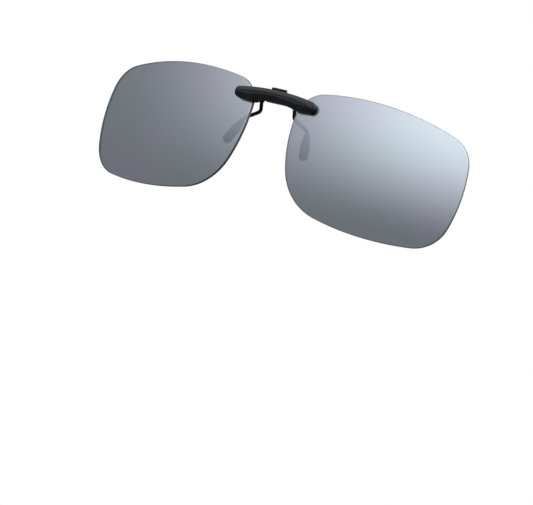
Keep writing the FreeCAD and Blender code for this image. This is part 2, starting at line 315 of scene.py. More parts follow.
# %% [markdown]
# ## The lens blank
# A sun lens is thermoformed from a flat laminate into a shallow dish, then milled to its outline. The dish
# is part of a sphere, and all of the mirror effect depends on how true it is: a lens made from a few flat
# triangles would reflect like a broken pane. So the blank is worked out as concentric rings that lie
# exactly on two spheres, with a small round where the cutter left a sharp edge.

# %% Lens outline
LENS_CENTRE = np.array([40.3, 1.0, 2.0])
LENS_RADIUS, LENS_THICKNESS, LENS_WRAP = 155.0, 0.9, 10.2
# nasal bottom, outer bottom, outer top, nasal top: (outward, up) from the lens centre
LENS_CORNERS = np.array([(-24.6, -17.6), (24.6, -19.6), (26.6, 13.9), (-30.9, 17.6)])
SIDE_BULGES = [3.3, 3.1, 4.3, 3.6]
CORNER_RADII = [19.0, 11.9, 10.4, 9.4]


def turn_about(centre, start, stop, steps=400):
    """Points from start to stop, anticlockwise round a centre."""
    first, last = (math.atan2(*(p - centre)[::-1]) for p in (start, stop))
    angle = np.linspace(first, last + (2 * math.pi if last < first else 0), steps, endpoint=False)
    return centre + np.linalg.norm(start - centre) * np.column_stack([np.cos(angle), np.sin(angle)])


def even_steps(curve, count):
    """The same closed curve with its points at equal distances along it."""
    whole = np.vstack([curve, curve[:1]])
    along = np.concatenate([[0], np.cumsum(np.linalg.norm(np.diff(whole, axis=0), axis=1))])
    stops = np.linspace(0, along[-1], count, endpoint=False)
    return np.column_stack([np.interp(stops, along, whole[:, k]) for k in (0, 1)])


def lens_outline(count):
    """Each side is an arc through two corners that bulges by its own height, with radius
    (chord squared / 4 + bulge squared) / (2 bulge). Each corner arc touches both of its sides from within,
    so its centre is (side radius - corner radius) away from each side's centre."""
    sides = []
    for corner, after, bulge in zip(LENS_CORNERS, np.roll(LENS_CORNERS, -1, axis=0), SIDE_BULGES):
        chord = after - corner
        radius = (chord @ chord / 4 + bulge ** 2) / (2 * bulge)
        outward = unit([chord[1], -chord[0]])
        sides.append(((corner + after) / 2 + outward * (bulge - radius), radius))
    touches = []
    for k, corner in enumerate(LENS_CORNERS):
        (c1, r1), (c2, r2), r = sides[k - 1], sides[k], CORNER_RADII[k]
        apart = np.linalg.norm(c2 - c1)
        along = ((r1 - r) ** 2 - (r2 - r) ** 2 + apart ** 2) / (2 * apart)
        aside = math.sqrt((r1 - r) ** 2 - along ** 2)
        forward = (c2 - c1) / apart
        normal = np.array([-forward[1], forward[0]])
        centre = min((c1 + forward * along + normal * s for s in (aside, -aside)),
                     key=lambda p: np.linalg.norm(p - corner))
        touches.append((centre, c1 + (centre - c1) * r1 / (r1 - r), c2 + (centre - c2) * r2 / (r2 - r)))
    curve = []
    for k, (centre, start, stop) in enumerate(touches):
        curve += [turn_about(centre, start, stop), turn_about(sides[k][0], stop, touches[(k + 1) % 4][1])]
    return even_steps(np.vstack(curve), count)


outline = lens_outline(288)
print("lens outline", [round(v, 1) for v in np.ptp(outline, axis=0)], "mm")

# %% Lens surface
EDGE_ROUND = 0.14
ROUND_RINGS = 5
FACE_RINGS = 44
INNERMOST_SHARE = 0.03
COAT, EDGE, BACK = 0, 1, 2


def lens_shell():
    """Rings from the middle of the front, round the rim, to the middle of the back. A ring at share s is
    s times the outline, and its depth is R - sqrt(R^2 - distance^2), where R is the radius of the front
    sphere, or that less the thickness for the back. The two rounds are quarter circles."""
    along = np.roll(outline, -1, axis=0) - np.roll(outline, 1, axis=0)
    outward = unit(np.column_stack([along[:, 1], -along[:, 0]]))

    def ring(share, inset, radius, lift):
        flat = (outline - outward * inset) * share
        depth = LENS_RADIUS - np.sqrt(radius ** 2 - (flat ** 2).sum(1)) + lift
        return np.column_stack([flat[:, 0], depth, flat[:, 1]])

    back_radius = LENS_RADIUS - LENS_THICKNESS
    shares = np.linspace(INNERMOST_SHARE, 1, FACE_RINGS)
    bends = np.radians(np.linspace(0, 90, ROUND_RINGS + 1)[1:])
    drop = EDGE_ROUND * (1 - np.sin(bends)), EDGE_ROUND * (1 - np.cos(bends))
    rings = [ring(s, EDGE_ROUND, LENS_RADIUS, 0) for s in shares]
    rings += [ring(1, i, LENS_RADIUS, d) for i, d in zip(*drop)]
    rings += [ring(1, i, back_radius, -d) for i, d in zip(drop[0][::-1], drop[1][::-1])]
    rings += [ring(s, EDGE_ROUND, back_radius, 0) for s in shares[::-1]]
    return loft(rings, "point", "point")


wrap = math.radians(LENS_WRAP)


def lens_in_place(points):
    """Wraps the lens round the face: a turn about Z by the wrap angle, then a shift to its centre."""
    x, y, z = np.moveaxis(points, -1, 0)
    c, s = math.cos(wrap), math.sin(wrap)
    return np.stack([x * c - y * s, x * s + y * c, z], -1) + LENS_CENTRE


# %% [markdown]
# ## The seat of the bridge
# The bridge, its rivets and its hinge are square to the lens where they sit on it, high up near the nasal
# edge. They share a frame of their own: its origin is on the lens front, Y runs back through the lens, and
# it leans back by the slope that the sphere has at that height.

# %% Bridge frame
SEAT_X, SEAT_ABOVE_CENTRE = 12.0, 13.0
GASKET = 0.3
FIXINGS = [(10.7, 0.1), (12.9, 0.1)]
RIVET_R, BUSHING_R = 0.5, 0.8
BACK_AXIS = np.array([0, 1.0, 0])

sphere_centre = LENS_CENTRE + np.array([-math.sin(wrap), math.cos(wrap), 0]) * LENS_RADIUS
seat_y = sphere_centre[1] - math.sqrt(
    LENS_RADIUS ** 2 - (SEAT_X - sphere_centre[0]) ** 2 - SEAT_ABOVE_CENTRE ** 2)
seat_tilt = math.asin(SEAT_ABOVE_CENTRE / LENS_RADIUS)


def on_bridge(points):
    """From the bridge frame into the model's frame: a turn about X, then a shift."""
    x, y, z = np.moveaxis(np.asarray(points, float), -1, 0)
    c, s = math.cos(seat_tilt), math.sin(seat_tilt)
    return np.stack([x, y * c + z * s, -y * s + z * c], -1) + [0, seat_y, LENS_CENTRE[2] + SEAT_ABOVE_CENTRE]


def placed(shell, move, mirrored=False):
    """A shell with its points moved, and mirrored if it belongs on the left."""
    points = move(shell[0])
    return (mirror_x(points) if mirrored else points), shell[1]


AXIS_Y, AXIS_Z = 0.9, 1.0
axis_point = on_bridge([0, AXIS_Y, AXIS_Z])
joint = frame["joints"][0]
print("hinge axis", axis_point.round(3), "mm, the joint's own", np.round(np.array(joint["pos_m"]) / MM, 3))

# %% Two drilled lenses
SIDES = [("right", False), ("left", True)]


def fixing_shells(profile, mirrored):
    """The same lathe profile at both lens fixings, along the bridge's Y axis."""
    return [placed(lathe([x, 0, z], BACK_AXIS, profile, 32), on_bridge, mirrored) for x, z in FIXINGS]


DRILL = [(-2, BUSHING_R), (4, BUSHING_R)]
# The faces come row by row: the front, the rim, the back, and then the two fans that close the middles.
rim_from = FACE_RINGS - 1
back_from = rim_from + 2 * ROUND_RINGS
front_fan = back_from + FACE_RINGS
lenses = {}
for side, mirrored in SIDES:
    lens = new_object("sun_lens_" + side, [placed(lens_shell(), lens_in_place, mirrored)], 60)
    rows = np.arange(len(lens.data.polygons)) // len(outline)
    kinds = np.select([rows < rim_from, rows < back_from, rows == front_fan], [COAT, EDGE, COAT], BACK)
    for _ in (COAT, EDGE, BACK):
        lens.data.materials.append(None)
    lens.data.polygons.foreach_set("material_index", kinds.astype(np.int32))
    carve(lens, fixing_shells(DRILL, mirrored))
    lenses[side] = stands_for(lens, "lens_" + side, "frame")

# %% [markdown]
# ## The bridge cover
# The cover is die cast: a bar with a straight side all round, then one sloping facet that rises to a ridge,
# and a narrow crease sunk along the middle. Every ring of its surface is the same outline drawn in by some
# inset, at some depth, so the whole front is a table of (inset, depth) pairs with rounded corners.

# %% Outline of the bridge
SHOULDER, TIP, HEEL, ARCH = (14.0, 2.1), (14.9, 0.5), (13.1, -1.5), (8.7, -1.75)
# how far each point moves in x and z for every millimetre of inset
SHOULDER_DRAW, TIP_DRAW, HEEL_DRAW = (-0.9, -0.9), (-1.25, -0.12), (-0.45, 0.9)
COVER_TOP, COVER_BOTTOM = 3.3, -0.7


def arc_through(a, b, c, steps):
    """Points from a towards c on the circle through a, b and c. Its centre is where the perpendicular
    bisectors of ab and bc meet."""
    a, b, c = (complex(*p) for p in (a, b, c))
    w = (c - a) / (b - a)
    centre = a + (b - a) * (w - abs(w) ** 2) / (w - w.conjugate())
    turn = np.angle((b - centre) / (a - centre)) + np.angle((c - centre) / (b - centre))
    z = centre + (a - centre) * np.exp(1j * turn * np.linspace(0, 1, steps, endpoint=False))
    return np.column_stack([z.real, z.imag])


def bridge_outline(inset):
    """The bar's outline as (x, z), drawn in by an inset: a long arc on top, a round end each side, a short
    straight heel and an arch underneath."""
    def left(p):
        return (-p[0], p[1])

    def drawn_in(point, draw):
        return (point[0] + draw[0] * inset, point[1] + draw[1] * inset)

    shoulder = drawn_in(SHOULDER, SHOULDER_DRAW)
    tip = drawn_in(TIP, TIP_DRAW)
    heel = drawn_in(HEEL, HEEL_DRAW)
    arch = (ARCH[0], ARCH[1] + inset)
    share = np.linspace(0, 1, 6, endpoint=False)[:, None]
    return np.vstack([
        arc_through(left(shoulder), (0, COVER_TOP - inset), shoulder, 90),
        arc_through(shoulder, tip, heel, 30),
        np.array(heel) * (1 - share) + np.array(arch) * share,
        arc_through(arch, (0, COVER_BOTTOM + inset), left(arch), 60),
        np.array(left(arch)) * (1 - share) + np.array(left(heel)) * share,
        arc_through(left(heel), left(tip), left(shoulder), 30)])


def rounded(corners, radius, steps=6):
    """A polyline whose inner corners are rounded by a parabola that starts and ends radius away."""
    corners = np.asarray(corners, float)
    t = np.linspace(0, 1, steps)[:, None]
    line = [corners[:1]]
    for before, corner, after in zip(corners, corners[1:], corners[2:]):
        reach = [min(radius, 0.45 * np.linalg.norm(p - corner)) for p in (before, after)]
        start = corner + unit(before - corner) * reach[0]
        stop = corner + unit(after - corner) * reach[1]
        line.append((1 - t) ** 2 * start + 2 * t * (1 - t) * corner + t ** 2 * stop)
    return np.vstack(line + [corners[-1:]])


def box_shell(x, y, z):
    """A box from three (low, high) pairs, in the bridge frame."""
    low, high = np.array([x, y, z], float).T
    ring = np.array([[0, 0], [1, 0], [1, 1], [0, 1]])
    rings = [np.column_stack([low[0] + ring[:, 0] * (high[0] - low[0]), np.full(4, depth),
                              low[2] + ring[:, 1] * (high[2] - low[2])]) for depth in (low[1], high[1])]
    return placed(loft(rings), on_bridge)


# %% Cover surface
COVER_SIDE, BEVEL_DEPTH, BEVEL_INSET = 2.0, 1.2, 1.65
CREASE_DEPTH, CREASE_WALL, CREASE_FLOOR = 0.16, 0.12, 0.05
BACK_INSET, EDGE_SOFTNESS = 0.5, 0.32
CHANNEL_X, CHANNEL_DEPTH, CHANNEL_TOP = 7.3, 1.2, 2.5
NOTCH_X, NOTCH_BOTTOM = 2.9, 2.2
# cutters reach well past the cover, so that they leave no thin skin
PAST_BACK, PAST_BOTTOM, PAST_TOP = 1, -4, 6

side_y = -GASKET - COVER_SIDE
ridge_y = side_y - BEVEL_DEPTH
section = rounded([
    (BACK_INSET, -GASKET), (0, -GASKET), (0, side_y), (BEVEL_INSET, ridge_y),
    (BEVEL_INSET + CREASE_WALL, ridge_y + CREASE_DEPTH),
    (BEVEL_INSET + CREASE_WALL + CREASE_FLOOR, ridge_y + CREASE_DEPTH)], EDGE_SOFTNESS)
rings = [np.insert(bridge_outline(inset), 1, depth, axis=1) for inset, depth in section]
cover = new_object("bridge_bar", [placed(loft(rings), on_bridge)])
carve(cover, [box_shell((-CHANNEL_X, CHANNEL_X), (-GASKET - CHANNEL_DEPTH, PAST_BACK),
                        (PAST_BOTTOM, CHANNEL_TOP))])
carve(cover, [box_shell((-NOTCH_X, NOTCH_X), (side_y, PAST_BACK), (NOTCH_BOTTOM, PAST_TOP))])
stands_for(cover, "bridge_cover", "frame")

# %% [markdown]
# ## Housing and lever
# The back of the bridge and the thumb lever are castings too: flat faces, bores and slots, with edges
# that tumbling has rounded. Their CAD shape is right, so each copy only has its flat faces made whole and
# its sharp edges rounded by a bevel.

# %% Copies with tumbled edges
import bmesh


ROUNDED_ABOVE, CASTING_SMOOTH_ANGLE = 35, 30


def tumbled(node, name, width):
    """A copy of a CAD node with its edges above 35 degrees rounded to a width in millimetres."""
    mesh = frame["nodes"][node].data.copy()
    work = bmesh.new()
    work.from_mesh(mesh)
    bmesh.ops.remove_doubles(work, verts=work.verts, dist=1e-6)
    bmesh.ops.dissolve_limit(work, angle_limit=math.radians(1), verts=work.verts, edges=work.edges)
    work.to_mesh(mesh)
    work.free()
    piece = bpy.data.objects.new(name, mesh)
    bpy.context.scene.collection.objects.link(piece)
    bevel = piece.modifiers.new("tumbled edges", "BEVEL")
    bevel.width, bevel.segments = width * MM, 3
    bevel.limit_method, bevel.angle_limit = "ANGLE", math.radians(ROUNDED_ABOVE)
    apply_modifiers(piece)
    piece.data.shade_smooth()
    piece.data.set_sharp_from_angle(angle=math.radians(CASTING_SMOOTH_ANGLE))
    return piece


housing = stands_for(tumbled("rear_housing", "bridge_back", 0.18), "rear_housing", "frame")
lever = stands_for(tumbled("thumb_lever", "lever", 0.15), "thumb_lever", "clip")

# %% [markdown]
# ## Pin, washers, bushings, rivets and collars
# All of these were turned on a lathe, so each is a profile and an axis. A ring with a bore has a profile
# that comes back to where it began.

# %% Turned parts
AXIS = np.array([1.0, 0, 0])
PIN_R, PIN_HALF, PIN_CHAMFER = 0.4, 7.9, 0.1
WASHER_R, WASHER_SPAN, WASHER_CHAMFER = 1.0, (7.02, 7.28), 0.05
SLEEVE_SPAN, SLEEVE_CHAMFER = (-GASKET, LENS_THICKNESS + 0.1), 0.04
WING_BACK = 1.75
RIVET_HEAD_R, RIVET_HEAD, RIVET_IN_COVER = 0.9, 0.35, 1.0
RIVET_CHAMFER, HEAD_CHAMFER, HEAD_EDGE = 0.08, 0.04, 0.06
DIMPLE_R, DIMPLE_DEPTH, DIMPLE_WALL = 0.24, 0.07, 0.08


def bored(origin, axis, span, inner, outer, chamfer, sides=48):
    """A ring with a bore: its section runs round the outside, then back along the bore."""
    low, high = span
    profile = [(low, inner), (low, outer - chamfer), (low + chamfer, outer), (high - chamfer, outer),
               (high, outer - chamfer), (high, inner)]
    return lathe(origin, axis, profile, sides, "joined", "joined")


pin_profile = [(-PIN_HALF, PIN_R - PIN_CHAMFER), (-PIN_HALF + PIN_CHAMFER, PIN_R),
               (PIN_HALF - PIN_CHAMFER, PIN_R), (PIN_HALF, PIN_R - PIN_CHAMFER)]
pin = new_object("pivot_pin", [placed(lathe([0, AXIS_Y, AXIS_Z], AXIS, pin_profile, 48), on_bridge)])
stands_for(pin, "hinge_pin", "frame")

washer = bored([0, AXIS_Y, AXIS_Z], AXIS, WASHER_SPAN, PIN_R, WASHER_R, WASHER_CHAMFER)
washers = new_object("spacer_rings", [placed(washer, on_bridge, mirrored) for _, mirrored in SIDES])
stands_for(washers, "thrust_washers", "frame")

dome = np.radians([0, 18, 36, 54, 70])
tip = -GASKET - RIVET_IN_COVER
head_top = WING_BACK + RIVET_HEAD
rise = (RIVET_HEAD - HEAD_EDGE) * np.sin(dome)
rivet_profile = np.vstack([
    [(tip, RIVET_R - RIVET_CHAMFER), (tip + RIVET_CHAMFER, RIVET_R), (WING_BACK, RIVET_R),
     (WING_BACK, RIVET_HEAD_R - HEAD_CHAMFER), (WING_BACK + HEAD_CHAMFER, RIVET_HEAD_R)],
    np.column_stack([WING_BACK + HEAD_EDGE + rise, RIVET_HEAD_R * np.cos(dome)]),
    [(head_top, DIMPLE_R), (head_top - DIMPLE_DEPTH, DIMPLE_R - DIMPLE_WALL)]])
for side, mirrored in SIDES:
    rivets = new_object("rivets_" + side, fixing_shells(rivet_profile, mirrored))
    stands_for(rivets, "lens_rivets_" + side, "frame")
    sleeves = new_object("sleeves_" + side, [
        placed(bored([x, 0, z], BACK_AXIS, SLEEVE_SPAN, RIVET_R, BUSHING_R, SLEEVE_CHAMFER),
               on_bridge, mirrored) for x, z in FIXINGS])
    stands_for(sleeves, "lens_bushings_" + side, "frame")

# %% [markdown]
# ## The torsion spring
# The spring is hard-drawn wire wound round the pin. One leg runs back to the housing and the other rises
# in front of the thumb tab, so squeezing the tab winds the coil up. A helix is a circle whose centre moves
# along the axis, and the legs leave along its tangent.

# %% Spring
COIL_R, WIRE_SPRING_R, PITCH, TURNS = 0.75, 0.13, 0.5, 7.2
LOW_LEG, HIGH_LEG = 1.45, 1.0


def spring_path():
    """Helix (pitch * turns so far, -r sin, -r cos) about the hinge axis, with a straight leg at each
    end along the tangent that a flat circle has there."""
    phi = np.linspace(0, 2 * math.pi * TURNS, 360)
    along = PITCH * (phi / (2 * math.pi) - TURNS / 2)
    coil = np.column_stack([along, -COIL_R * np.sin(phi), -COIL_R * np.cos(phi)])
    low_end = coil[0] + [0, LOW_LEG, 0]
    rise = np.array([0, -math.cos(phi[-1]), math.sin(phi[-1])])
    share = np.linspace(0, 1, 12)[:, None]
    legs = low_end * (1 - share) + coil[0] * share, coil[-1] + rise * HIGH_LEG * share
    path = np.vstack([legs[0][:-1], coil, legs[1][1:]]) + [0, AXIS_Y, AXIS_Z]
    return path, unit(np.gradient(path, axis=0))


spring_shell = placed(sweep(*spring_path(), WIRE_SPRING_R, AXIS, 14), on_bridge)
spring = new_object("coil_spring", [spring_shell])
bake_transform(spring)
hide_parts("torsion_spring")
compare(spring, "torsion_spring")

# %% [markdown]
# ## The wire arms
# Each arm is 1.2 mm wire, bent twice in a jig: down and back out of the lever, across behind the nasal
# edge of the lens, then down into its pad. A bend in wire is an arc that touches both straight runs, so the
# path is straight runs and arcs, and a circle is swept along it.

# %% Path of a bent wire
WIRE_R, WIRE_IN_BARREL = 0.6, 0.55
ARM_DROP, ARM_KNEE, PAD_TIP = np.array([(6.3, 2.0, 11.4), (11.8, 3.0, 8.6), (14.9, 0.5, -1.0)])
BEND_RADII = [1.7, 1.5]
SOCKET_R, SOCKET_SPAN, SOCKET_CHAMFER = 0.9, (1.12, 1.9), 0.12
WIRE_STOPS_SHORT = 2.4


def bent_path(points, radii, step=0.2):
    """Straight runs joined by arcs. At a corner the run turns by some angle, and the arc starts
    radius * tan(angle / 2) before it. Returns points and unit tangents."""
    path, tangents, here = [], [], points[0]

    def straight(a, b):
        count = max(2, int(np.linalg.norm(b - a) / step))
        share = np.linspace(0, 1, count, endpoint=False)[:, None]
        path.append(a * (1 - share) + b * share)
        tangents.append(np.repeat([unit(b - a)], count, 0))

    for before, corner, after, radius in zip(points, points[1:], points[2:], radii):
        come, go = unit(corner - before), unit(after - corner)
        turn = math.acos(come @ go)
        start = corner - come * radius * math.tan(turn / 2)
        inward = unit(go - come * (go @ come))
        phi = np.linspace(0, turn, 24, endpoint=False)[:, None]
        straight(here, start)
        path.append(start + radius * (np.sin(phi) * come + (1 - np.cos(phi)) * inward))
        tangents.append(np.cos(phi) * come + np.sin(phi) * inward)
        here = corner + go * radius * math.tan(turn / 2)
    straight(here, points[-1])
    return np.vstack(path + [points[-1:]]), np.vstack(tangents + [[unit(points[-1] - here)]])


pad_along = unit(PAD_TIP - ARM_KNEE)
arm_top = axis_point + AXIS * ARM_DROP[0]
arm_run = unit(ARM_DROP - arm_top)
wire_end = PAD_TIP - pad_along * WIRE_STOPS_SHORT
corners = np.array([arm_top + arm_run * WIRE_IN_BARREL, ARM_DROP, ARM_KNEE, wire_end])
arm_path, arm_tangents = bent_path(corners, BEND_RADII)
wire_length = float(np.linalg.norm(np.diff(arm_path, axis=0), axis=1).sum())
print("each arm takes", round(wire_length, 1), "mm of wire")


def as_is(points):
    return np.asarray(points, float)


for side, mirrored in SIDES:
    wire = sweep(arm_path, arm_tangents, WIRE_R, BACK_AXIS, 32)
    arm = new_object("arm_" + side, [placed(wire, as_is, mirrored)])
    stands_for(arm, "wire_arm_" + side, "clip")
    collar = bored(arm_top, arm_run, SOCKET_SPAN, WIRE_R, SOCKET_R, SOCKET_CHAMFER)
    stands_for(new_object("collar_" + side, [placed(collar, as_is, mirrored)]),
               "wire_socket_" + side, "clip")

# %% [markdown]
# ## The rubber pads
# A pad is silicone, moulded straight onto the wire: a flat paddle with a narrow neck, a round tip and a
# shallow oval pressed into both broad faces. Its section is a superellipse, flatter than an ellipse on the
# broad faces and rounder than a box at the edges.

# %% Pads
PAD_LENGTH = 9.4
NECK_WIDTH, PAD_WIDTH, NECK_DEPTH, PAD_DEPTH = 1.9, 3.2, 1.5, 1.75
TIP_SHARE, SQUARENESS = 0.15, 2.5
NECK_ROUND, NECK_SHARE = 0.03, 0.8
GROWS_FROM, GROWS_TO = 0.02, 0.45
OVAL_AT, OVAL_DEPTH, OVAL_HALF_LENGTH, OVAL_SHARE, OVAL_FLOOR = 0.56, 0.17, 0.27, 0.66, 0.82


def smooth_step(low, high, x):
    """0 below low, 1 above high, and 3t^2 - 2t^3 between."""
    t = np.clip((x - low) / (high - low), 0, 1)
    return t * t * (3 - 2 * t)


def pad_shell():
    """Superellipse sections |x/a|^n + |y/b|^n = 1 along the pad, at shares s of its length. Half-width a
    grows from the neck by a smooth step and closes at the tip as a half circle, sqrt(1 - t^2), and the
    neck's end is rounded by a quarter circle down to NECK_SHARE. Inside the oval the broad faces sink by
    a smooth step of the distance from its rim."""
    neck = np.array([0, 0.2, 0.6, 1]) * NECK_ROUND
    s = np.concatenate([neck, np.linspace(0.04, 1 - TIP_SHARE, 70),
                        1 - TIP_SHARE * (1 - np.sin(np.radians(np.linspace(3, 88, 22))))])
    closing = np.sqrt(1 - np.clip((s - 1 + TIP_SHARE) / TIP_SHARE, 0, 1) ** 2)
    opening = NECK_SHARE + (1 - NECK_SHARE) * np.sqrt(1 - (1 - np.clip(s / NECK_ROUND, 0, 1)) ** 2)
    grow = smooth_step(GROWS_FROM, GROWS_TO, s)
    a = (NECK_WIDTH + (PAD_WIDTH - NECK_WIDTH) * grow) / 2 * closing * opening
    b = (NECK_DEPTH + (PAD_DEPTH - NECK_DEPTH) * grow) / 2 * closing ** 0.8 * opening
    angle = np.linspace(0, 2 * math.pi, 112, endpoint=False)
    x = np.sign(np.cos(angle)) * abs(np.cos(angle)) ** (2 / SQUARENESS)
    y = np.sign(np.sin(angle)) * abs(np.sin(angle)) ** (2 / SQUARENESS)
    s, a, b, x, y = s[:, None], a[:, None], b[:, None], x[None], y[None]
    wide = x * a
    rim = np.hypot((s - OVAL_AT) / OVAL_HALF_LENGTH, wide / (PAD_WIDTH / 2 * OVAL_SHARE))
    deep = y * (b - OVAL_DEPTH * (1 - smooth_step(OVAL_FLOOR, 1.0, rim)))
    across = unit(np.cross(BACK_AXIS, pad_along))
    through = np.cross(pad_along, across)
    neck_point = PAD_TIP - pad_along * PAD_LENGTH
    middle = neck_point + (s * PAD_LENGTH)[..., None] * pad_along
    return loft(middle + wide[..., None] * across + deep[..., None] * through, "face", "point")


for side, mirrored in SIDES:
    pad = new_object("pad_" + side + "_rubber", [placed(pad_shell(), as_is, mirrored)], 50)
    stands_for(pad, "pad_" + side, "clip")

visible = [o for o in bpy.data.objects if o.type == "MESH" and not o.hide_render]
print("visible pieces", sorted(o.name for o in visible))

# %% [markdown]
# ## Mirror coating on a smoke lens
# A sun lens of this kind is a sandwich: a polarising film between two sheets of smoke-tinted plastic, with
# a thin metal oxide stack evaporated on the front. The stack reflects about half of the light, almost like
# a metal, and the tint swallows most of the rest, so a bright background still shows through a little. The
# back has no coating and looks like dark polished plastic. Alpha carries the see-through part: light that
# crosses the lens passes both faces, so the share that gets through is the product of what each lets by.

# %% Lens materials
COAT_ALPHA, BACK_ALPHA = 0.72, 0.68
print(f"the lens lets {100 * (1 - COAT_ALPHA) * (1 - BACK_ALPHA):.0f}% of the light through")

# Vacuum-deposited silver flash coating: cool grey, slightly thicker in places, which swings it from violet
# to green, and polished by wiping, which leaves faint hazy patches.
flash_coating, tree, shader, where = new_material("flash_mirror_coating")
drift = add(tree, "TexNoise", Vector=where, Scale=per_metre(26), Detail=1.5)
tint = add(tree, "ValToRGB", Fac=drift.outputs["Fac"])
tint.color_ramp.elements[0].position, tint.color_ramp.elements[1].position = 0.32, 0.68
tint.color_ramp.elements[0].color = linear("#B4B8C6")
tint.color_ramp.elements[1].color = linear("#B0BDC4")
wipes = add(tree, "TexNoise", Vector=where, Scale=per_metre(9), Detail=4, Distortion=1.2)
haze = add(tree, "MapRange", Value=wipes.outputs["Fac"], From_Min=0.35, From_Max=0.75,
           To_Min=0.045, To_Max=0.085)
tree.links.new(tint.outputs["Color"], shader.inputs["Base Color"])
tree.links.new(haze.outputs["Result"], shader.inputs["Roughness"])
shader.inputs["Metallic"].default_value = 1
shader.inputs["Alpha"].default_value = COAT_ALPHA

# Smoke-tinted polycarbonate with a hard coat: nearly black, glossy, with the finest of orange peel.
smoke_back, tree, shader, where = new_material("smoke_tinted_hard_coat")
peel = add(tree, "TexNoise", Vector=where, Scale=per_metre(3.5), Detail=2)
bump = add(tree, "Bump", Height=peel.outputs["Fac"], Strength=0.04, Distance=0.02 * MM)
cloud = add(tree, "TexNoise", Vector=where, Scale=per_metre(18), Detail=2)
depth = add(tree, "ValToRGB", Fac=cloud.outputs["Fac"])
depth.color_ramp.elements[0].color = linear("#202327")
depth.color_ramp.elements[1].color = linear("#282B30")
tree.links.new(depth.outputs["Color"], shader.inputs["Base Color"])
tree.links.new(bump.outputs["Normal"], shader.inputs["Normal"])
shader.inputs["Roughness"].default_value = 0.07
shader.inputs["IOR"].default_value = 1.58
shader.inputs["Alpha"].default_value = BACK_ALPHA

# Milled and buffed rim of the same plastic: dark grey, with fine marks that the cutter left, so it draws a
# thin line round the lens.
buffed_rim, tree, shader, where = new_material("buffed_lens_rim")
lines = add(tree, "TexNoise", Vector=where, Scale=per_metre(0.5), Detail=3)
grey = add(tree, "ValToRGB", Fac=lines.outputs["Fac"])
grey.color_ramp.elements[0].color = linear("#1B1D20")
grey.color_ramp.elements[1].color = linear("#2B2E33")
bump = add(tree, "Bump", Height=lines.outputs["Fac"], Strength=0.2, Distance=0.03 * MM)
tree.links.new(grey.outputs["Color"], shader.inputs["Base Color"])
tree.links.new(bump.outputs["Normal"], shader.inputs["Normal"])
shader.inputs["Roughness"].default_value = 0.3
shader.inputs["IOR"].default_value = 1.58

for lens in lenses.values():
    for k, material in enumerate([flash_coating, buffed_rim, smoke_back]):
        lens.data.materials[k] = material

# %% [markdown]
# ## Lacquer, enamel, rubber and acetal
# The bridge is satin black lacquer over a casting: lacquer flows before it sets, which leaves soft peel a
# quarter of a millimetre across, and handling leaves slightly shinier patches. The wire has a thinner,
# glossier coat, the pads and gaskets are matt rubber with a grain from the mould, the rivets are blackened
# steel, and the washers are turned from cream-white acetal. One function makes all of them, from the colour
# range, the grain's size and depth, the range of roughness and the strength of the shine.

# %% Lacquer, enamel and rubber
def mottled(name, dark, light, grain_mm, grain_depth_mm, rough, specular=0.5, patch_mm=3.0, strength=0.5):
    """A coat whose colour drifts between two hex values over patches, with a fine bumpy grain and a
    roughness that drifts with the patches."""
    material, tree, shader, where = new_material(name)
    patch = add(tree, "TexNoise", Vector=where, Scale=per_metre(patch_mm), Detail=3)
    colour = add(tree, "ValToRGB", Fac=patch.outputs["Fac"])
    colour.color_ramp.elements[0].position, colour.color_ramp.elements[1].position = 0.3, 0.7
    colour.color_ramp.elements[0].color, colour.color_ramp.elements[1].color = linear(dark), linear(light)
    sheen = add(tree, "MapRange", Value=patch.outputs["Fac"], From_Min=0.3, From_Max=0.7,
                To_Min=rough[0], To_Max=rough[1])
    grain = add(tree, "TexNoise", Vector=where, Scale=per_metre(grain_mm), Detail=2)
    bump = add(tree, "Bump", Height=grain.outputs["Fac"], Strength=strength, Distance=grain_depth_mm * MM)
    tree.links.new(colour.outputs["Color"], shader.inputs["Base Color"])
    tree.links.new(sheen.outputs["Result"], shader.inputs["Roughness"])
    tree.links.new(bump.outputs["Normal"], shader.inputs["Normal"])
    shader.inputs["Specular IOR Level"].default_value = specular
    return material


satin_lacquer = mottled("satin_black_lacquer", "#08090A", "#131418", 0.25, 0.012, (0.24, 0.42), 0.27)
wire_coat = mottled("black_wire_enamel", "#060607", "#0E0E10", 0.12, 0.006, (0.2, 0.34), 0.12, 2.0)
silicone = mottled("matt_silicone", "#0E0F10", "#17181A", 0.1, 0.012, (0.5, 0.65), 0.2, 2.5)
gasket_rubber = mottled("nitrile_gasket", "#0E0E0E", "#161616", 0.15, 0.01, (0.6, 0.75), 0.15)
rivet_black = mottled("blackened_rivet", "#0D0D0F", "#1B1B1F", 0.08, 0.006, (0.28, 0.42), 0.4, 0.8)
acetal = mottled("natural_acetal", "#C9C5B8", "#DAD6CA", 0.2, 0.004, (0.4, 0.5), 0.4)
finishes = [satin_lacquer, wire_coat, silicone, gasket_rubber, rivet_black, acetal]
print("mottled finishes", [finish.name for finish in finishes])

# %% [markdown]
# ## Bare steel
# The pin is centreless ground and the spring is drawn wire. Both are bare stainless steel, so both are
# metals. Grinding leaves fine rings round the pin, close together along X. Drawn wire has soft marks less
# than half a millimetre long, which catch the light on every turn of the coil.

